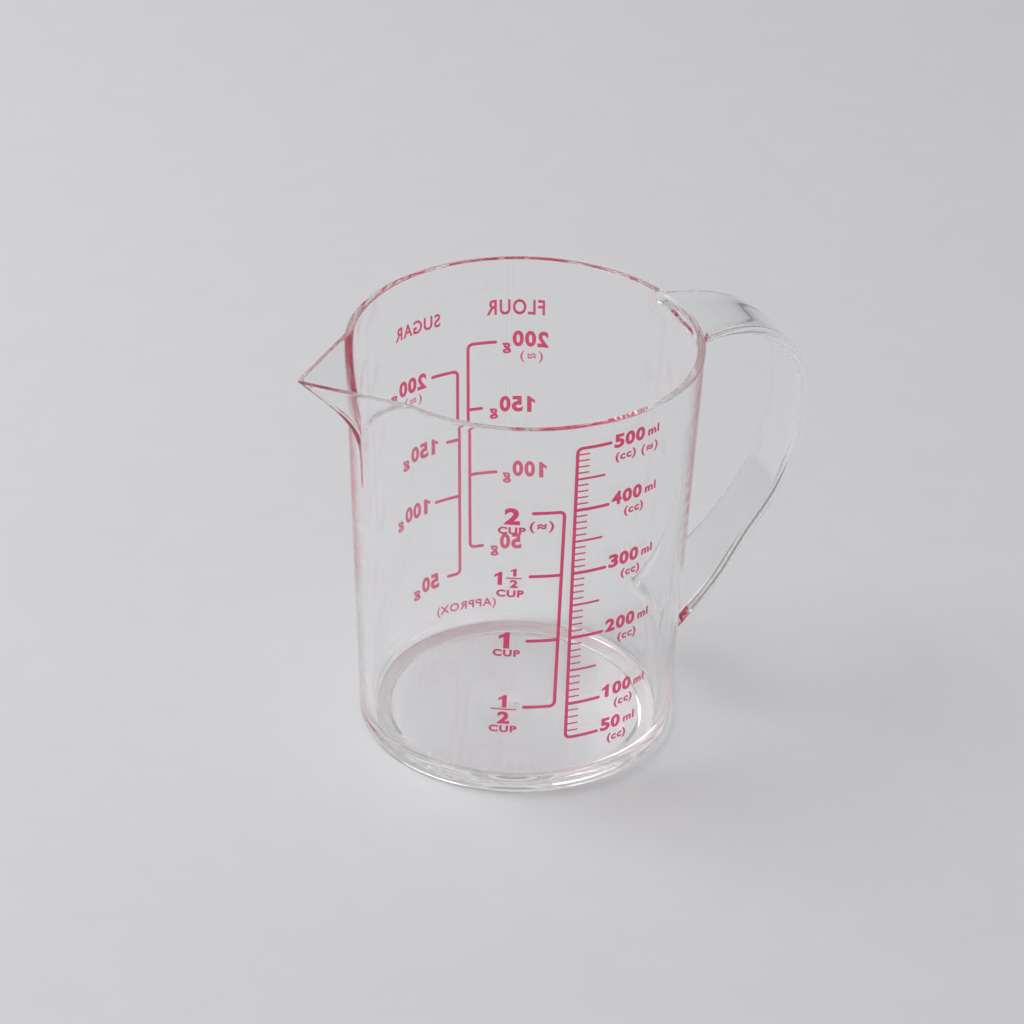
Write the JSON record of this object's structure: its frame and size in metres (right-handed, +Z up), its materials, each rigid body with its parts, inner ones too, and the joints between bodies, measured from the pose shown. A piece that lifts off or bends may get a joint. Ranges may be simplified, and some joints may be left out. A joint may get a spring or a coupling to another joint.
{
  "type": "measuring cup",
  "caption": "Clear plastic measuring cup with a tapered round vessel, a V-shaped pouring lip, a wide strap handle and red printed volume and weight scales.",
  "frame": {"origin": "bottom centre of the whole object's bounding box, on the surface that it stands on; the vessel's axis is 7.865 mm towards -X from it", "axes": "+Z up along the vessel's axis, +X towards the handle, -X towards the pouring lip"},
  "size_m": [0.1374, 0.091, 0.11],
  "materials": {
    "clear_plastic": "colourless transparent plastic, injection moulded against a polished mould",
    "scale_ink": "crimson ink, screen printed on the outside of the wall"
  },
  "bodies": {
    "root": {"cup_body": "clear_plastic", "handle": "clear_plastic", "scale_ml": "scale_ink", "scale_cup": "scale_ink", "scale_flour": "scale_ink", "scale_sugar": "scale_ink"}
  },
  "joints": []
}
